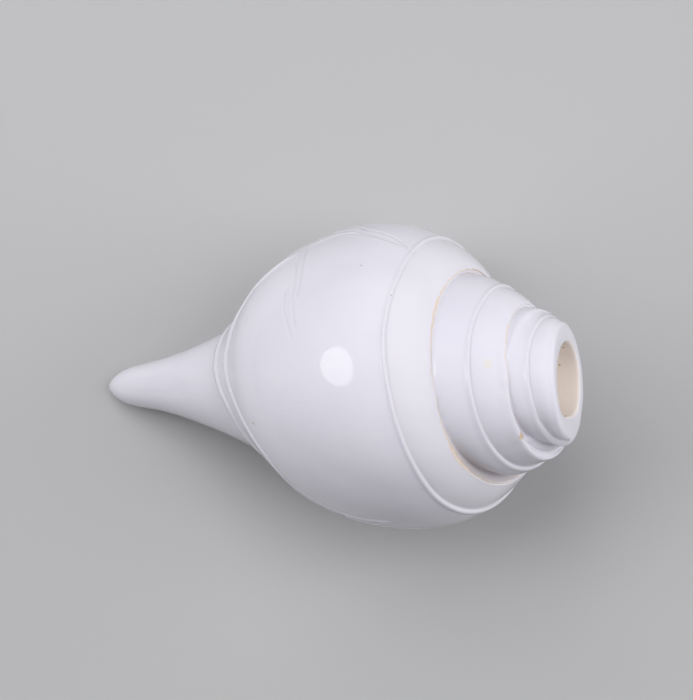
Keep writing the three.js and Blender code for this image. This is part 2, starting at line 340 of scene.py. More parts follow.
# Lines cut or raised on the body whorl: depth, width, and the places through which they run, each
# an angle in degrees and an along; a negative depth stands up
lines = {
    "leafUpper": (0.24, 0.5, [(86, 0.385), (80, 0.28), (72.5, 0.165), (69.5, 0.128), (66.5, 0.112)]),
    "leafMiddle": (0.22, 0.45, [(78, 0.37), (74, 0.26), (68.5, 0.148), (66.8, 0.122)]),
    "leafLower": (0.28, 0.5, [(64, 0.405), (68, 0.36), (70.5, 0.30), (69.5, 0.20), (66, 0.123)]),
    "oldLeafA": (0.12, 0.55, [(64, 0.405), (54, 0.372), (44.5, 0.346), (35.5, 0.336)]),
    "oldLeafB": (0.10, 0.55, [(58, 0.42), (46, 0.375), (35.5, 0.353), (23.5, 0.32)]),
    "oldLeafC": (0.09, 0.55, [(42, 0.40), (34, 0.387), (28, 0.366), (20, 0.33)]),
    "lowLeafUpper": (-0.30, 0.55, [(-45, 0.485), (-54, 0.42), (-58.5, 0.363), (-60.5, 0.258), (-61, 0.222)]),
    "lowLeafLower": (-0.28, 0.5, [(-62, 0.40), (-65, 0.34), (-65, 0.29), (-62.5, 0.235)]),
    "ringNear": (-0.36, 0.62, [(75, 0.695), (55, 0.714), (39, 0.711), (18, 0.703), (0, 0.683),
                               (-14, 0.661), (-32, 0.644), (-50, 0.625), (-75, 0.60)]),
    "ringFar": (-0.38, 0.62, [(64, 0.412), (61, 0.47), (58.5, 0.53), (56.5, 0.585), (50, 0.622),
                              (36, 0.636), (22, 0.643), (8, 0.637), (-3, 0.619), (-14, 0.592),
                              (-24, 0.559), (-34, 0.526), (-50, 0.49), (-75, 0.47)]),
}
lineSetup = {
    "samples": 90,
    "reach": 2.4,            # how far from a line the mesh is made finer
    "fineCuts": 2,
    "farthest": 6.0,         # nothing of a line is felt further off than this
    "fadeShare": 0.08,       # part of its length over which each end fades
    "cutShoulder": 0.35,     # low rim beside a cut line
    "raisedShoulder": 0.5,   # worn step beside a raised one
}


def smoothLine(keys):
    keys = np.array(keys, dtype=float)
    spots = np.arange(len(keys), dtype=float)
    at = np.linspace(0, len(keys) - 1, lineSetup["samples"])
    wide = lambda k: np.repeat(keys[:, k][:, None], len(at), 1)
    angle = throughKeys(spots, wide(0), at)
    return np.radians(angle) - coil["lipAngle"], throughKeys(spots, wide(1), at)


def distanceToLine(growth, along, radius, scale, keys):
    # distance in millimetres measured on the surface, its side, and how far along the line
    lineGrowth, lineAlong = smoothLine(keys)
    best = np.full(len(growth), 1e9)
    side = np.zeros(len(growth))
    spot = np.zeros(len(growth))
    for i in range(len(lineGrowth) - 1):
        ax = (lineGrowth[i] - growth) * radius
        ay = (lineAlong[i] - along) * scale
        bx = (lineGrowth[i + 1] - lineGrowth[i]) * radius
        by = (lineAlong[i + 1] - lineAlong[i]) * scale
        t = np.clip(-(ax * bx + ay * by) / np.maximum(bx * bx + by * by, 1e-9), 0, 1)
        dx, dy = ax + t * bx, ay + t * by
        d = np.hypot(dx, dy)
        nearer = d < best
        best = np.where(nearer, d, best)
        side = np.where(nearer, np.sign(bx * dy - by * dx), side)
        spot = np.where(nearer, (i + t) / (len(lineGrowth) - 1), spot)
    return best, side, spot


def lineRelief(growth, along):
    # height of the body whorl's own lines, and how much painted shadow lies along them
    total = np.zeros(len(growth))
    shade = np.zeros(len(growth))
    body = growth >= -turn - 1e-9
    point, _, _, scale = skinFrame(growth, along)
    radius = np.hypot(point[:, 0], point[:, 1])
    for depth, width, keys in lines.values():
        d, side, spot = distanceToLine(growth, along, radius, scale, keys)
        fade = smoothStep(np.minimum(spot, 1 - spot) / lineSetup["fadeShare"])
        shape = -np.exp(-(d / width) ** 2)
        if depth > 0:
            shape = shape + lineSetup["cutShoulder"] * np.exp(-((d - 1.5 * width) / width) ** 2)
        else:
            shape = shape - lineSetup["raisedShoulder"] * side * np.exp(-((d - 1.3 * width) / width) ** 2)
        total += np.where(body & (d < lineSetup["farthest"]), shape * depth * fade, 0)
        # painted shadow in a cut line, and on the shaded side of a raised one
        fromShadow = np.abs(d - (0.9 * width if depth < 0 else 0)) / 0.3
        dark = min(1.0, abs(depth) / 0.3) * fade * np.exp(-fromShadow ** 2)
        shade = np.maximum(shade, np.where(body & ((side > 0) | (depth > 0)), dark, 0))
    return total, shade


def shapedSkin(growth, along):
    point, normal, upward, scale = skinFrame(growth, along)
    groove, _ = windings(growth, along, scale)
    groove = np.where(along < 0.5, groove, 0)
    edge, over = edges(growth, along, scale, (np.array(cutPlace) - point) @ np.array(cutNormal))
    line, _ = lineRelief(growth, along)
    ripple = np.array([noise.noise(Vector(p) * 0.045) * 0.07 + noise.noise(Vector(p) * 0.13) * 0.03
                       for p in point])
    # all but the edge fades out at the seams and at the tip; nothing covers the body whorl's own base
    bare = smoothStep((growth + turn) / carving["olderOver"])
    toSeam = smoothStep((coil["coveredAt"] - along) / 0.012)
    free = np.where(growth <= -turn, toSeam, toSeam * (1 - bare) + bare)
    out = (groove + line + ripple) * (smoothStep(along / 0.01) * free) * smoothStep((1 - along) / 0.05)
    out = out + edge
    return point + normal * out[:, None] + upward * over[:, None]


# Mesh of the outer skin: rows wind with the coil, columns run from suture to canal
skinMesh = {"rowsPerTurn": 270, "turns": 3.7, "weld": 0.004}
columns = np.concatenate([
    [0, 0.0012, 0.0024, 0.0036, 0.0048, 0.006, 0.0075, 0.010, 0.0135, 0.018],
    np.linspace(0.024, 0.0900, 9), np.linspace(0.0945, 0.1145, 12), np.linspace(0.120, 0.165, 6),
    [0.170, 0.174, 0.178, 0.1815, 0.1845, 0.187, 0.1885, coil["coveredAt"]],
    np.arange(0.196, 0.966, 0.0086), [0.972, 0.979, 0.985, 0.99, 0.994, 0.9975, 1.0]])
upperColumns = int(np.searchsorted(columns, coil["coveredAt"])) + 1


def addGrid(bm, layers, growths, alongs):
    rows = []
    for g in growths:
        row = []
        for a in alongs:
            v = bm.verts.new((0, 0, 0))
            v[layers["growth"]] = g
            v[layers["along"]] = a
            row.append(v)
        rows.append(row)
    for upper, lower in zip(rows, rows[1:]):
        for k in range(len(alongs) - 1):
            bm.faces.new((upper[k], lower[k], lower[k + 1], upper[k + 1]))
    return rows


def readLayers(bm, layers):
    growth = np.array([v[layers["growth"]] for v in bm.verts], dtype=float)
    along = np.array([v[layers["along"]] for v in bm.verts], dtype=float)
    return growth, along


def setPlaces(bm, places):
    for v, p in zip(bm.verts, places):
        v.co = p


def refineNearLines(bm, layers):
    growth, along = readLayers(bm, layers)
    point, _, _, scale = skinFrame(growth, along)
    radius = np.hypot(point[:, 0], point[:, 1])
    near = np.full(len(growth), 99.0)
    for _, _, keys in lines.values():
        d, _, _ = distanceToLine(growth, along, radius, scale, keys)
        near = np.minimum(near, np.where(growth >= -turn, d, 99))
    bm.verts.index_update()
    chosen = [e for e in bm.edges if max(near[v.index] for v in e.verts) < lineSetup["reach"]]
    bmesh.ops.subdivide_edges(bm, edges=chosen, cuts=lineSetup["fineCuts"], use_grid_fill=True)


def rowAt(bm, growth):
    tree = kdtree.KDTree(len(bm.verts))
    bm.verts.ensure_lookup_table()
    bm.verts.index_update()
    for v in bm.verts:
        tree.insert(v.co, v.index)
    tree.balance()
    return [bm.verts[tree.find(p)[1]] for p in shapedSkin(np.full(len(columns), growth), columns)]


lip = {
    "across": [0.35, 0.9, 1.6, 2.3, 3.0, 3.6],   # points in from the outer skin, in millimetres
    "bulge": 1.5,            # how far the middle of the band stands ahead, and where that is
    "middle": 1.8,
    "fullFrom": 5.0,         # thickness from which it has that size
}


def addLip(bm, layers):
    # the end of the outer lip: a rounded band across the thickness, then on to the inner wall
    outer, inner = rowAt(bm, 0.0), rowAt(bm, -turn)
    lastRing = [outer[0]]
    for k, start in enumerate(outer[1:], 1):
        end = inner[max(k, upperColumns - 1)]
        across = end.co - start.co
        length = across.length
        if length < 1e-6:
            for a, b in zip(lastRing, lastRing[1:]):
                bm.faces.new((a, b, start))
            continue
        g = np.array([0.0])
        s = np.array([start[layers["along"]]])
        ahead = Vector((bareSkin(g + 1e-3, s) - bareSkin(g - 1e-3, s))[0]).normalized()
        size = min(1.0, length / lip["fullFrom"])
        ring = [start]
        for x in lip["across"]:
            bulge = lip["bulge"] * size * math.sqrt(max(0.0, 1 - (x / lip["middle"] - 1) ** 2))
            v = bm.verts.new(start.co + across * (x * size / length) + ahead * bulge)
            v[layers["growth"]] = 0.01
            v[layers["along"]] = start[layers["along"]]
            ring.append(v)
        ring.append(end)
        if len(lastRing) == 1:
            for a, b in zip(ring, ring[1:]):
                if b is not lastRing[0]:
                    bm.faces.new((a, b, lastRing[0]))
        else:
            for a, b, c, d in zip(lastRing, lastRing[1:], ring[1:], ring):
                bm.faces.new((a, b, d) if b is c else (a, b, c, d))
        lastRing = ring


# Oblique cut across the spire, its rounded rim, and the bowl of the blow hole below it
rim = {
    "height": -22.2,
    "slope": (0.194, 0.032),     # how the cut falls towards the underside and to the side
    "round": 1.25,               # rounding of the outer edge
    "roundFrom": 0.9,            # where it starts below the cut, and where its corner and its end lie
    "roundCorner": 0.35,         # in from the skin, all as shares of the rounding
    "roundEnd": 1.5,
    "roundSteps": 6,
    "evenOver": 24,              # points each way over which it is evened, and how they are weighed
    "evenSpread": 11.0,
    "holeRadius": (11.4, 9.6),
    "holeShift": (-2.0, -1.0),
    "holeSkew": 0.14,
    "holeSquare": 0.5,           # how square its lower half is
    "innerRound": 0.9,           # rounding of the inner edge, the radius it is for, and its steps
    "innerRadius": 10.9,
    "innerSteps": (0.25, 0.5, 0.8, 1.1, 1.57),
    # bowl below the hole: share of the hole's radius, depth
    "bowl": [(0.99, -2.0), (0.975, -4.0), (0.945, -6.5), (0.89, -9.5), (0.82, -12.5), (0.73, -15.2),
             (0.61, -17.4), (0.46, -19.0), (0.29, -20.0), (0.13, -20.4)],
}
cutNormal = Vector((-rim["slope"][0], -rim["slope"][1], 1)).normalized()
cutPlace = Vector((0, 0, rim["height"]))
cutX = Vector((0, 1, 0)).cross(cutNormal).normalized()
cutY = cutNormal.cross(cutX)
holeCentre = cutPlace + cutX * rim["holeShift"][0] + cutY * rim["holeShift"][1]


def walkLoop(rimEdges):
    ahead = {}
    for e in rimEdges:
        for v in e.verts:
            ahead.setdefault(v, []).append(e.other_vert(v))
    start = next(iter(ahead))
    loop, last, here = [start], None, start
    while True:
        options = [v for v in ahead[here] if v is not last]
        last, here = here, options[0]
        if here is start:
            return loop
        loop.append(here)


def raised(x, y, up):
    return holeCentre + cutX * x + cutY * y + cutNormal * up


def holePoint(angle, share, up):
    # an oval with one end squarer than the other, as cut by hand
    power = 2 + 2 * rim["holeSquare"] * max(0.0, math.sin(angle))
    grow = (abs(math.cos(angle)) ** power + abs(math.sin(angle)) ** power) ** (-1 / power)
    x, y = grow * math.cos(angle) * share, grow * math.sin(angle) * share
    wide, high = rim["holeRadius"]
    return raised(wide * x + rim["holeSkew"] * high * y, high * y, up)


def evened(values):
    # weighted running average round a closed loop
    reach = rim["evenOver"]
    weights = np.exp(-(np.arange(-reach, reach + 1) / rim["evenSpread"]) ** 2)
    weights /= weights.sum()
    return np.convolve(np.concatenate([values[-reach:], values, values[:reach]]), weights, "valid")


def joinRings(bm, rings):
    for a, b in zip(rings, rings[1:]):
        for k in range(len(a)):
            n = (k + 1) % len(a)
            bm.faces.new((a[k], a[n], b[n], b[k]))


def closeRing(bm, ring, tip):
    end = bm.verts.new(tip)
    for k in range(len(ring)):
        bm.faces.new((ring[k], ring[(k + 1) % len(ring)], end))


def faceOutwards(bm):
    bmesh.ops.recalc_face_normals(bm, faces=bm.faces[:])
    if bm.calc_volume(signed=True) < 0:
        bmesh.ops.reverse_faces(bm, faces=bm.faces[:])


def addRim(bm):
    below = cutPlace - cutNormal * rim["round"] * rim["roundFrom"]
    cut = bmesh.ops.bisect_plane(bm, geom=bm.verts[:] + bm.edges[:] + bm.faces[:], dist=1e-4,
                                 plane_co=below, plane_no=cutNormal, clear_outer=True)
    cutEdges = [e for e in cut["geom_cut"] if isinstance(e, bmesh.types.BMEdge)]
    loop = walkLoop([e for e in cutEdges if e.is_boundary])
    flat = [Vector(((v.co - holeCentre).dot(cutX), (v.co - holeCentre).dot(cutY))) for v in loop]
    count = len(loop)
    # the rounding runs from the skin as it is to an even oval on the cut
    angles = np.unwrap([math.atan2(p.y, p.x) for p in flat])
    sign = 1 if angles[-1] > angles[0] else -1
    ramp = sign * turn * np.arange(count) / count
    angles = evened(angles - ramp) + ramp
    radii = evened(np.array([p.length for p in flat]))
    rings = [loop]
    for step in range(1, rim["roundSteps"] + 1):
        x = step / rim["roundSteps"]
        ring = []
        for v, angle, radius in zip(loop, angles, radii):
            polar = lambda r: raised(r * math.cos(angle), r * math.sin(angle), 0)
            edge = polar(radius - rim["roundCorner"] * rim["round"])
            end = polar(radius - rim["roundEnd"] * rim["round"])
            ring.append(bm.verts.new(v.co * (1 - x) ** 2 + edge * 2 * x * (1 - x) + end * x * x))
        rings.append(ring)
    r = rim["innerRound"]
    share = r / rim["innerRadius"]
    innerEdge = [(1 + share, 0.0)]
    innerEdge += [(1 + share * (1 - math.sin(a)), -r * (1 - math.cos(a))) for a in rim["innerSteps"]]
    for share, up in innerEdge + rim["bowl"]:
        rings.append([bm.verts.new(holePoint(a, share, up)) for a in angles])
    joinRings(bm, rings)
    closeRing(bm, rings[-1], raised(0, 0, rim["bowl"][-1][1] - 0.1))
    return rings[rim["roundSteps"] + 1:]


# Hollow that the animal lived in, as a closed cutter: radius, height, lean and two exponents
hollow = {
    "keys": [
        (35.0, -61.5, 0.0, 1.0, 1.0), (39.6, -66.5, 0.0, 1.0, 1.0), (45.2, -78.6, 0.0, 1.0, 1.0),
        (44.3, -85.2, 0.0, 0.91, 0.85), (42.6, -92.6, 0.8, 0.91, 0.5), (36.2, -101.6, 4.8, 0.94, 0.456),
        (24.6, -111.4, 8.4, 0.88, 0.35), (16.8, -116.6, 9.0, 0.6, 0.2), (12.4, -118.2, 9.0, 0.64, 0.2),
        (14.2, -112.0, 9.0, 1.06, 0.515), (17.4, -105.0, 8.6, 1.1, 0.68), (20.8, -97.5, 8.0, 1.08, 0.83),
        (27.2, -88.5, 5.0, 1.0, 0.93), (30.6, -79.0, 1.2, 1.0, 0.98), (31.2, -72.0, 0.2, 1.0, 1.0),
        (32.4, -65.5, 0.0, 1.0, 1.0),
    ],
    "firstInnerKey": 8,
    "thickerWall": 3.6,    # the older whorls are hollow a little less far out: at which keys
    "thickerSide": (1, 2, 3, 4),
    "thickerTop": (0, 1, 15),
    "thickerFrom": 0.45,   # from how many turns in, and over how many
    "thickerOver": 0.5,
    "turns": 2.1,
    "pastLip": math.radians(24),
    "lift": 7.0,
    "rowsPerTurn": 84,
    "rowsPastLip": 6,
    # points round the section, closest on the columella: from one key to another, how many
    "around": [(0, 8.4, 30), (8.4, 12.0, 34), (12.0, 16.0, 12)],
    "foldKeys": (8.9, 9.8, 10.7, 11.5),   # where the ridges of the columella run
    "foldHeight": 1.3,
    "foldWidth": 0.16,
    "throat": {"radius": 5.6, "reach": 11.8, "height": -40.5},
}
slit = {  # trough of the canal: height, distance of its centre, half depth, half width
    "keys": [(-111, 17.5, 4.5, 4.2), (-119, 16.5, 8.0, 3.9), (-128, 15.0, 7.8, 3.4), (-136, 12.5, 7.0, 3.0),
             (-148, 10.0, 6.1, 2.7), (-160, 7.8, 5.0, 2.4), (-166, 6.5, 4.4, 2.2), (-173, 5.5, 4.2, 2.0)],
    "pastLip": math.radians(9),
    "lean": (9, 0.085),    # sideways lean at the depth below, and how much more per millimetre
    "leanFrom": 119,
    "rows": 40,
    "around": 28,
}


def closedCurve(points, at):
    # centripetal curve through a ring of points; at counts keys
    points = np.array(points)
    n = len(points)
    out = []
    for value in at:
        i = int(value) % n
        p = [points[(i + k - 1) % n] for k in range(4)]
        knots = [0.0]
        for a, b in zip(p, p[1:]):
            knots.append(knots[-1] + math.sqrt(np.linalg.norm(b - a)))
        t = knots[1] + (value - int(value)) * (knots[2] - knots[1])
        mix = lambda a, b, x, y: ((y - t) * a + (t - x) * b) / (y - x)
        a = [mix(p[k], p[k + 1], knots[k], knots[k + 1]) for k in range(3)]
        b = [mix(a[k], a[k + 1], knots[k], knots[k + 2]) for k in range(2)]
        out.append(mix(b[0], b[1], knots[1], knots[2]))
    return np.array(out)


def hollowRing(growth, at):
    g = np.array([growth])
    lift = hollow["lift"] * max(growth, 0) / hollow["pastLip"]
    above = float(shrink(np.minimum(g, -turn), 0)[0])
    ring = []
    turnsPast = -growth / turn - hollow["thickerFrom"]
    thicker = hollow["thickerWall"] * float(smoothStep(turnsPast / hollow["thickerOver"]))
    for k, (radius, height, lean, byRadius, byHeight) in enumerate(hollow["keys"]):
        radius -= thicker * (k in hollow["thickerSide"])
        height -= thicker * (k in hollow["thickerTop"])
        r = radius * shrink(g, byRadius)[0] + (lift if k >= hollow["firstInnerKey"] else 0)
        ring.append(place(coil["lipAngle"] + growth, r, height * shrink(g, byHeight)[0], lean * above))
    ring = closedCurve(ring, at)
    middle = ring.mean(axis=0)
    if growth < 0.1:   # ridges of the columella stand into the hollow
        for fold in hollow["foldKeys"]:
            near = np.exp(-((at - fold) / hollow["foldWidth"]) ** 2)[:, None]
            inward = middle - ring
            inward /= np.linalg.norm(inward, axis=1)[:, None]
            ring = ring + (inward * near * hollow["foldHeight"] * float(shrink(g, 0.6)[0])
                           * smoothStep((0.1 - growth) / 0.3))
    return ring, middle


def closedTube(name, rings, ends):
    # rings of points joined into one closed body with a point at each end
    bm = bmesh.new()
    made = [[bm.verts.new(p) for p in ring] for ring in rings]
    joinRings(bm, made)
    closeRing(bm, made[0], ends[0])
    closeRing(bm, made[-1], ends[1])
    faceOutwards(bm)
    markInside(bm)
    return meshObject(name, bm)


def markInside(bm):
    layer = bm.verts.layers.float.new("innerWall")
    for v in bm.verts:
        v[layer] = 1


def meshObject(name, bm):
    mesh = bpy.data.meshes.new(name)
    bm.to_mesh(mesh)
    bm.free()
    piece = bpy.data.objects.new(name, mesh)
    scene.collection.objects.link(piece)
    return piece


def makeHollow():
    at = np.concatenate([np.linspace(*part, endpoint=False) for part in hollow["around"]])
    count = int(hollow["rowsPerTurn"] * hollow["turns"])
    inside = np.linspace(-turn * hollow["turns"], 0, count)
    outside = np.linspace(0, hollow["pastLip"], hollow["rowsPastLip"] + 1)[1:]
    made = [hollowRing(g, at) for g in np.concatenate([inside, outside])]
    return closedTube("hollowCutter", [m[0] for m in made], (made[0][1], made[-1][1]))


def makeSlit():
    keys = np.array(slit["keys"], dtype=float)
    depths = np.linspace(-keys[0, 0], -keys[-1, 0], slit["rows"])
    values = [smoothKeys(depths, -keys[:, 0], keys[:, k]) for k in (1, 2, 3)]
    angle = coil["lipAngle"] + slit["pastLip"]
    sideways = np.array([-math.sin(angle), -math.cos(angle), 0])
    rings = []
    for depth, centre, half, width in zip(depths, *values):
        lean = slit["lean"][0] + slit["lean"][1] * (depth - slit["leanFrom"])
        ring = []
        for a in np.linspace(0, turn, slit["around"], endpoint=False):
            p = place(angle, centre + half * math.cos(a), -depth, lean)
            ring.append(p + sideways * width * math.sin(a))
        rings.append(np.array(ring))
    return closedTube("slitCutter", rings, (rings[0].mean(axis=0), rings[-1].mean(axis=0)))


def makeThroat():
    spec = hollow["throat"]
    at = place(coil["lipAngle"] - turn * hollow["turns"], spec["reach"], spec["height"], 0)
    bm = bmesh.new()
    bmesh.ops.create_icosphere(bm, subdivisions=4, radius=spec["radius"],
                               matrix=Matrix.Translation(Vector(at)))
    markInside(bm)
    return meshObject("throatCutter", bm)


# Where colour gathers on the skin: cream wherever a whorl's edge is worn, and grey painted shade in the
# cuts, beside the raised lines and in the ditch
wearAndShade = {
    "creamWidth": 0.30,
    "creamHalo": 1.5,
    # how much of it there is round the shell, by angle in degrees
    "creamRound": ([-180, -75, -50, -30, 0, 60, 90, 180], [0.3, 0.5, 0.8, 1.2, 1.15, 1.0, 0.7, 0.3]),
    "chipAt": math.radians(-46),   # the second whorl keeps its cream only above the chip
    # strength of the painted shade in that ditch
    "ditchShade": 0.72,
    # small stains and pits: angle in degrees and along, radius in mm, colour, strength
    "spots": [
        (16 - 360, 0.056, 1.5, (0.80, 0.77, 0.66, 1), 0.5),
        (-14, 0.526, 0.6, (0.62, 0.48, 0.36, 1), 0.8),
        (-41.5 - 360, 0.014, 1.2, (0.66, 0.47, 0.26, 1), 0.9),
        (-39 - 360, 0.006, 0.6, (0.66, 0.47, 0.26, 1), 0.8),
        (50, 0.158, 0.3, (0.30, 0.27, 0.26, 1), 0.6),
        (39.5, 0.105, 0.3, (0.30, 0.22, 0.17, 1), 0.5)],
    # the same inside the blow hole: across, down and up from the middle of the hole
    "holeSpots": [
        (-6.2, -7.6, -2.4, 0.40, (0.30, 0.22, 0.15, 1), 0.8),
        (-9.9, -3.5, -4.9, 0.42, (0.52, 0.36, 0.16, 1), 0.8)],
}
paintNames = ("growth", "along", "innerWall", "creamEdge", "paintedShade", "warmBand")


def paintSkin(bm, layers, growth, along):
    _, _, _, scale = skinFrame(growth, along)
    _, fromGroove = windings(growth, along, scale)
    _, shade = lineRelief(growth, along)
    uneven = 0.95 + 0.3 * wander(growth, 4.0, 11.0) + 0.25 * wander(growth, 14.0, 5.0)
    amount = np.interp(angleAt(growth), *wearAndShade["creamRound"])
    edgeGrowth = np.where(along < 0.5 * coil["coveredAt"], growth, growth + turn)
    amount = np.where(edgeGrowth < -turn + wearAndShade["chipAt"] - coil["lipAngle"], amount * 0.1, amount)
    amount = np.where(edgeGrowth < -turn - 0.1, amount * 0.6, amount)
    width = wearAndShade["creamWidth"] * np.clip(uneven, 0.9, 1.4)
    fromEdge = np.maximum(along - 0.0035, 0) * scale
    fromNext = (coil["coveredAt"] - along) * scale
    fromEdge = np.where(growth < -turn, np.minimum(fromEdge, fromNext * 1.6), fromEdge)
    cream = 0.9 * np.exp(-(fromEdge / width) ** 2) + 0.16 * np.exp(-(fromEdge / wearAndShade["creamHalo"]) ** 2)
    # painted shade: grey laid along the step of the carved groove, where shade falls
    paintedShade = 0.30 * np.exp(-((fromGroove + 0.15) / 0.17) ** 2) * (along < 0.5)
    paintedShade = np.maximum(paintedShade, 0.22 * shade)
    # painted shade in the deep ditch beside the body whorl's edge, where the older whorl is worn hollow
    ditch = np.exp(-((fromNext - 1.4) / 2.4) ** 2)
    ditch = ditch * smoothStep((roundTheShell(growth, "ditches") - 0.15) / 0.6)
    ditch = ditch * (growth < -turn + 0.1) * (growth > -2 * turn)
    paintedShade = np.maximum(paintedShade, wearAndShade["ditchShade"] * ditch)
    # the body whorl is a little warmer between its edge and its groove
    warm = smoothStep(along / 0.02) * smoothStep((0.104 - along) / 0.008) * smoothStep((growth + turn) / 0.4)
    for name, values in (("creamEdge", cream * amount), ("paintedShade", paintedShade), ("warmBand", warm)):
        for v, value in zip(bm.verts, np.minimum(values, 1)):
            v[layers[name]] = float(value)


def stopIfOpen(bm, what):
    # a body that isn't closed can't be carved: the cuts would be left out without a word
    loose = [e for e in bm.edges if not e.is_manifold]
    if loose:
        raise RuntimeError(f"{what} has {len(loose)} open edges, the first at {loose[0].verts[0].co}")


def buildShell():
    bm = bmesh.new()
    layers = {name: bm.verts.layers.float.new(name) for name in paintNames}
    rows = skinMesh["rowsPerTurn"]
    addGrid(bm, layers, np.linspace(-turn, 0, rows + 1), columns)
    refineNearLines(bm, layers)
    upperRows = int(rows * (skinMesh["turns"] - 1))
    apex = -turn - turn * upperRows / rows
    addGrid(bm, layers, np.linspace(apex, -turn, upperRows + 1), columns[:upperColumns])
    growth, along = readLayers(bm, layers)
    setPlaces(bm, shapedSkin(growth, along))
    paintSkin(bm, layers, growth, along)
    bmesh.ops.remove_doubles(bm, verts=bm.verts[:], dist=skinMesh["weld"])
    addLip(bm, layers)
    bmesh.ops.remove_doubles(bm, verts=bm.verts[:], dist=skinMesh["weld"])
    for k, ring in enumerate(addRim(bm)):
        for v in ring:
            v[layers["innerWall"]] = min(1.0, k / 4)
            # no painted shade on the rim or in the bowl
            v[layers["paintedShade"]] = 0
    faceOutwards(bm)
    stopIfOpen(bm, "the skin")
    return meshObject("conchShell", bm)


def carveHollows(shell):
    for cutter in (makeHollow(), makeSlit(), makeThroat()):
        cutter.data.materials.append(None)
        cut = shell.modifiers.new("carve", "BOOLEAN")
        cut.operation = "DIFFERENCE"
        cut.solver = "MANIFOLD"
        cut.object = cutter
        bpy.context.view_layer.update()
        carved = shell.evaluated_get(bpy.context.evaluated_depsgraph_get())
        cutMesh = bpy.data.meshes.new_from_object(carved)
        if len(cutMesh.polygons) == len(shell.data.polygons):
            raise RuntimeError(f"{cutter.name} has cut nothing")
        shell.modifiers.clear()
        shell.data = cutMesh
        bpy.data.objects.remove(cutter)
    check = bmesh.new()
    check.from_mesh(shell.data)
    stopIfOpen(check, "the carved shell")
    check.free()


def intoFrame():
    # from millimetres on the coiling axis to metres in the frame
    up = Vector(coil["restingUp"]).normalized()
    ahead = (Vector((0, 0, 1)) - up * up.z).normalized()
    rotation = Matrix((ahead, up.cross(ahead), up)).to_4x4()
    return Matrix.Scale(0.001, 4) @ Matrix.Translation(Vector(coil["apexAt"])) @ rotation


def toFrame(p):
    return intoFrame() @ Vector(p)


print("building the shell")
shell = buildShell()
carveHollows(shell)
shell.data.transform(intoFrame())
shell.data.shade_smooth()
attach(shell, "root")
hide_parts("shell")


# Shader groups
def newGroup(name, inputs, outputs):
    # inputs by name, each a number, or None for a vector; the outputs are numbers
    group = bpy.data.node_groups.new(name, "ShaderNodeTree")
    for title, value in inputs.items():
        kind = "NodeSocketVector" if value is None else "NodeSocketFloat"
        socket = group.interface.new_socket(name=title, in_out="INPUT", socket_type=kind)
        if value is not None:
            socket.default_value = value
    for title in outputs:
        group.interface.new_socket(name=title, in_out="OUTPUT", socket_type="NodeSocketFloat")
    return group, group.nodes.new("NodeGroupInput").outputs, group.nodes.new("NodeGroupOutput").inputs


def addNode(tree, kind, values=None, **options):
    node = tree.nodes.new(kind)
    for key, value in options.items():
        setattr(node, key, value)
    for key, value in (values or {}).items():
        if isinstance(value, bpy.types.NodeSocket):
            tree.links.new(value, node.inputs[key])
        else:
            node.inputs[key].default_value = value
    return node


def mathNode(tree, operation, a, b=0.0, clamp=False):
    return addNode(tree, "ShaderNodeMath", {0: a, 1: b}, operation=operation, use_clamp=clamp).outputs[0]


def mixColour(tree, factor, a, b):
    return addNode(tree, "ShaderNodeMix", {0: factor, 6: a, 7: b}, data_type="RGBA").outputs[2]


def times(tree, a, b, clamp=False):
    return mathNode(tree, "MULTIPLY", a, b, clamp)


def plus(tree, a, b, clamp=False):
    return mathNode(tree, "ADD", a, b, clamp)


def remap(tree, value, low, high):
    return addNode(tree, "ShaderNodeMapRange", {0: value, 1: low, 2: high}, clamp=True).outputs[0]


def noiseAt(tree, vector, scale, detail, roughness=0.5):
    values = {"Vector": vector, "Scale": scale, "Detail": detail, "Roughness": roughness}
    return addNode(tree, "ShaderNodeTexNoise", values).outputs[0]


def growthStreakGroup():
    # faint bands left by the lip as it grew, and slow blotches under the polish
    inputs = {"Growth": 0.0, "Along": 0.0, "Position": None, "Bands": 9.0, "Blotch Scale": 45.0}
    group, inlet, outlet = newGroup("growthStreaks", inputs, ("Streak", "Blotch"))
    bent = plus(group, times(group, noiseAt(group, inlet["Position"], 60.0, 2.0), 0.25), inlet["Growth"])
    bands = addNode(group, "ShaderNodeCombineXYZ", {0: bent, 1: times(group, inlet["Along"], 0.35)})
    streak = noiseAt(group, bands.outputs[0], inlet["Bands"], 5.0, 0.62)
    blotch = noiseAt(group, inlet["Position"], inlet["Blotch Scale"], 4.0, 0.55)
    group.links.new(remap(group, streak, 0.3, 0.7), outlet["Streak"])
    group.links.new(remap(group, blotch, 0.3, 0.7), outlet["Blotch"])
    return group


def pitGroup():
    # sparse small pits and specks that the polish did not reach
    inputs = {"Position": None, "Scale": 300.0, "Size": 0.1, "Share": 0.1}
    group, inlet, outlet = newGroup("pits", inputs, ("Mask",))
    cells = addNode(group, "ShaderNodeTexVoronoi", {"Vector": inlet["Position"], "Scale": inlet["Scale"]})
    dot = mathNode(group, "LESS_THAN", cells.outputs["Distance"], inlet["Size"])
    split = addNode(group, "ShaderNodeSeparateColor", {0: cells.outputs["Color"]})
    chosen = mathNode(group, "LESS_THAN", split.outputs[0], inlet["Share"])
    group.links.new(times(group, dot, chosen), outlet["Mask"])
    return group


def spotGroup():
    # a small stain with an uneven edge
    inputs = {"Position": None, "Place": None, "Sharpness": 1000.0}
    group, inlet, outlet = newGroup("spot", inputs, ("Mask",))
    away = addNode(group, "ShaderNodeVectorMath", {0: inlet["Position"], 1: inlet["Place"]},
                   operation="DISTANCE").outputs["Value"]
    near = mathNode(group, "SUBTRACT", 1.1, times(group, away, inlet["Sharpness"]))
    uneven = mathNode(group, "SUBTRACT", noiseAt(group, inlet["Position"], 1400.0, 2.0), 0.5)
    group.links.new(times(group, plus(group, near, uneven), 1.6, clamp=True), outlet["Mask"])
    return group


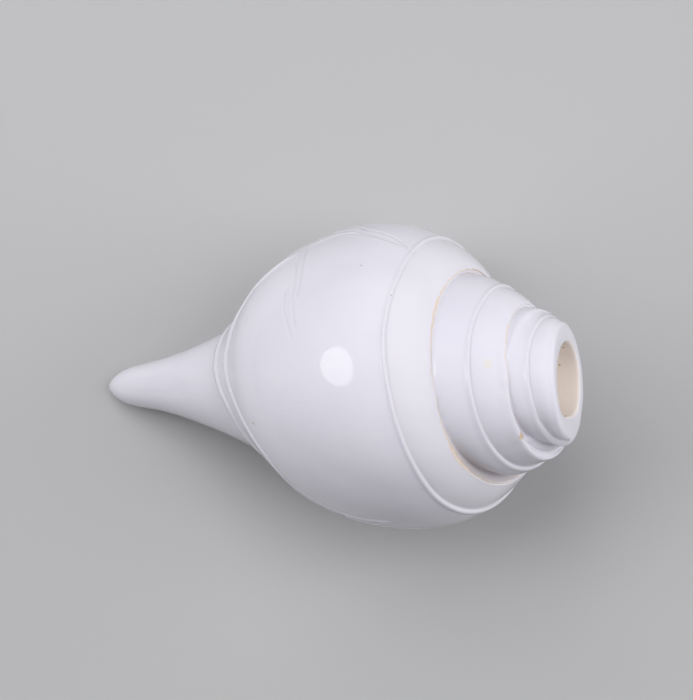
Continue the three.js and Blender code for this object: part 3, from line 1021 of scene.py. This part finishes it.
def findSpots():
    # the stains of both lists, each moved to the nearest point of the finished shell
    wanted = []
    for angle, along, *looks in wearAndShade["spots"]:
        growth = math.radians(angle) - coil["lipAngle"]
        wanted.append((Vector(shapedSkin(np.array([growth]), np.array([along]))[0]), looks))
    for across, down, up, *looks in wearAndShade["holeSpots"]:
        wanted.append((raised(across, down, up), looks))
    return [(shell.closest_point_on_mesh(toFrame(p))[1], *looks) for p, looks in wanted]


finish = {
    "white": (0.80, 0.785, 0.875, 1),
    "coolWhite": (0.76, 0.75, 0.85, 1),
    "warmWhite": (0.82, 0.80, 0.86, 1),
    "bandWhite": (0.80, 0.775, 0.83, 1),
    "cream": (0.81, 0.69, 0.60, 1),
    "innerCream": (0.90, 0.82, 0.765, 1),
    # grey of the painted shade in the grooves, beside the raised lines and in the ditch
    "grey": (0.42, 0.36, 0.36, 1),
    "speck": (0.30, 0.22, 0.17, 1),
    "streakTint": 0.35,
    "bandTint": 0.5,
    "pitShare": 0.004,
    "roughness": 0.30,
    "roughBlotches": 0.12,
    "roughCream": 0.25,
    "coat": 1.0,
    "coatRoughness": 0.022,
    "refraction": 1.5,
    "specular": 0.2,
    # heights under the polish: streaks, fine grain, finest grain
    "streakHeight": 0.6,
    "fineHeight": 0.36,
    "grainHeight": 0.4,
    "bumpStrength": 0.25,
    "bumpDistance": 0.0002,
}


def shellMaterial():
    material = bpy.data.materials.new("polishedWhiteShell")
    material.use_nodes = True
    tree = material.node_tree
    tree.nodes.clear()
    attribute = lambda name: addNode(tree, "ShaderNodeAttribute", attribute_name=name).outputs["Fac"]
    group = lambda made, values: addNode(tree, "ShaderNodeGroup", values, node_tree=made).outputs
    position = addNode(tree, "ShaderNodeTexCoord").outputs["Object"]
    streaks = group(growthStreakGroup(), {
        "Growth": attribute("growth"), "Along": attribute("along"), "Position": position})
    pits = group(pitGroup(), {"Position": position, "Share": finish["pitShare"]})

    colour = mixColour(tree, streaks["Blotch"], finish["coolWhite"], finish["white"])
    streakTint = times(tree, streaks["Streak"], finish["streakTint"])
    colour = mixColour(tree, streakTint, colour, finish["warmWhite"])
    bandTint = times(tree, attribute("warmBand"), finish["bandTint"])
    colour = mixColour(tree, bandTint, colour, finish["bandWhite"])
    colour = mixColour(tree, attribute("innerWall"), colour, finish["innerCream"])
    ragged = mathNode(tree, "SUBTRACT", noiseAt(tree, position, 420.0, 4.0), 0.5)
    cream = remap(tree, plus(tree, attribute("creamEdge"), times(tree, ragged, 0.6)), 0.25, 0.8)
    colour = mixColour(tree, cream, colour, finish["cream"])
    # painted shade: grey mixed in along the grooves, beside the lines and in the ditch
    colour = mixColour(tree, attribute("paintedShade"), colour, finish["grey"])
    colour = mixColour(tree, pits["Mask"], colour, finish["speck"])
    spot = spotGroup()
    for middle, radius, shade, strength in findSpots():
        mask = group(spot, {"Position": position, "Place": middle, "Sharpness": 1000 / radius})
        colour = mixColour(tree, times(tree, mask["Mask"], strength), colour, shade)

    rough = plus(tree, times(tree, streaks["Blotch"], finish["roughBlotches"]), finish["roughness"])
    rough = plus(tree, rough, times(tree, cream, finish["roughCream"]), clamp=True)
    fine = times(tree, noiseAt(tree, position, 900.0, 3.0), finish["fineHeight"])
    grain = times(tree, noiseAt(tree, position, 1900.0, 2.0), finish["grainHeight"])
    height = plus(tree, plus(tree, times(tree, streaks["Streak"], finish["streakHeight"]), fine), grain)
    bump = addNode(tree, "ShaderNodeBump", {
        "Height": height, "Strength": finish["bumpStrength"], "Distance": finish["bumpDistance"]})
    shader = addNode(tree, "ShaderNodeBsdfPrincipled", {
        "Base Color": colour, "Roughness": rough, "Normal": bump.outputs[0],
        "Coat Weight": finish["coat"], "Coat Roughness": finish["coatRoughness"],
        "IOR": finish["refraction"], "Coat IOR": finish["refraction"],
        "Specular IOR Level": finish["specular"]})
    output = addNode(tree, "ShaderNodeOutputMaterial")
    tree.links.new(shader.outputs[0], output.inputs[0])
    return material


print("finishing the surface")
shell.data.materials.clear()
shell.data.materials.append(shellMaterial())

# Floor, lights and camera
studio = {
    "floorSize": 6.0,
    "floorDrop": 0.0002,
    "floorColour": (0.50, 0.50, 0.51, 1),
    "floorRoughness": 0.9,
    "worldColour": (0.55, 0.56, 0.60, 1),
    "worldStrength": 0.03,
    # where on the belly the key light is mirrored, and its distance, size and power
    "glintAngle": math.radians(10),
    "glintAlong": 0.171,
    "glintLight": (0.62, 0.30, 0.60),
    # soft boxes: direction as seen from the camera (right, up, towards it), distance, size, power
    "lights": [
        ("frontSoftbox", (-0.33, 0.56, 0.76), 0.9, 0.8, 4.9),
        ("rightFrontSoftbox", (0.45, 0.10, 0.88), 0.9, 0.6, 3.2),
        ("rightSoftbox", (0.93, 0.16, 0.33), 0.9, 0.6, 4.0),
        ("leftSoftbox", (-0.92, 0.0, 0.38), 0.9, 0.6, 2.0),
    ],
}
view = {  # on the shell's own axes, in millimetres
    "swing": math.radians(33.44),
    "roll": math.radians(2.765),
    "distance": 430.0,
    "lookAt": (0, 0, -72.6),
    "slide": (-15.2, -10.6),
    "lens": 80.64,
}


def makeFloor():
    bm = bmesh.new()
    bmesh.ops.create_grid(bm, x_segments=24, y_segments=24, size=studio["floorSize"] / 2)
    floor = meshObject("studioFloor", bm)
    floor.location.z = cadBox[0][2] - studio["floorDrop"]
    material = bpy.data.materials.new("palePaper")
    material.use_nodes = True
    shader = material.node_tree.nodes["Principled BSDF"]
    shader.inputs["Base Color"].default_value = studio["floorColour"]
    shader.inputs["Roughness"].default_value = studio["floorRoughness"]
    floor.data.materials.append(material)


def makeCamera():
    back = Vector((math.cos(view["swing"]), 0, math.sin(view["swing"])))
    side = Vector((-math.sin(view["swing"]), 0, math.cos(view["swing"])))
    down = Vector((0, 1, 0))
    right = side * math.cos(view["roll"]) + down * math.sin(view["roll"])
    under = -side * math.sin(view["roll"]) + down * math.cos(view["roll"])
    spot = Vector(view["lookAt"]) + back * view["distance"]
    spot = spot + right * view["slide"][0] + under * view["slide"][1]
    origin = toFrame((0, 0, 0))
    axis = lambda v: (toFrame(v) - origin).normalized()
    matrix = Matrix((axis(right), -axis(under), axis(back))).transposed().to_4x4()
    matrix.translation = toFrame(spot)
    camera = bpy.data.objects.new("camera", bpy.data.cameras.new("camera"))
    camera.data.lens = view["lens"]
    camera.data.sensor_width = 36
    camera.data.sensor_fit = "HORIZONTAL"
    camera.data.clip_start = 0.01
    camera.matrix_world = matrix
    scene.collection.objects.link(camera)
    scene.camera = camera
    return matrix


def addLight(name, spot, target, size, power, shape, mirrored):
    data = bpy.data.lights.new(name, "AREA")
    data.shape = shape
    data.size = size
    data.energy = power
    light = bpy.data.objects.new(name, data)
    light.location = spot
    light.rotation_euler = (Vector(target) - Vector(spot)).to_track_quat("-Z", "Y").to_euler()
    light.visible_glossy = mirrored      # the soft boxes light the shell without drawing squares on it
    scene.collection.objects.link(light)


def makeWorld():
    world = bpy.data.worlds.new("studioAir")
    world.use_nodes = True
    world.node_tree.nodes["Background"].inputs[0].default_value = studio["worldColour"]
    world.node_tree.nodes["Background"].inputs[1].default_value = studio["worldStrength"]
    scene.world = world


def makeStudio():
    makeFloor()
    matrix = makeCamera()
    # the key light stands where the polished belly mirrors it back as a small round glint
    g = np.array([studio["glintAngle"] - coil["lipAngle"]])
    point, normal, _, _ = skinFrame(g, np.array([studio["glintAlong"]]))
    spot = toFrame(point[0])
    facing = (toFrame(point[0] + normal[0]) - spot).normalized()
    towards = (matrix.translation - spot).normalized()
    mirrored = (facing * 2 * facing.dot(towards) - towards).normalized()
    distance, size, power = studio["glintLight"]
    addLight("glintLight", spot + mirrored * distance, spot, size, power, "DISK", True)
    middle = toFrame(view["lookAt"])
    for name, direction, distance, size, power in studio["lights"]:
        away = (matrix.to_3x3() @ Vector(direction)).normalized() * distance
        addLight(name, middle + away, middle, size, power, "SQUARE", False)
    makeWorld()


print("setting up the studio")
makeStudio()
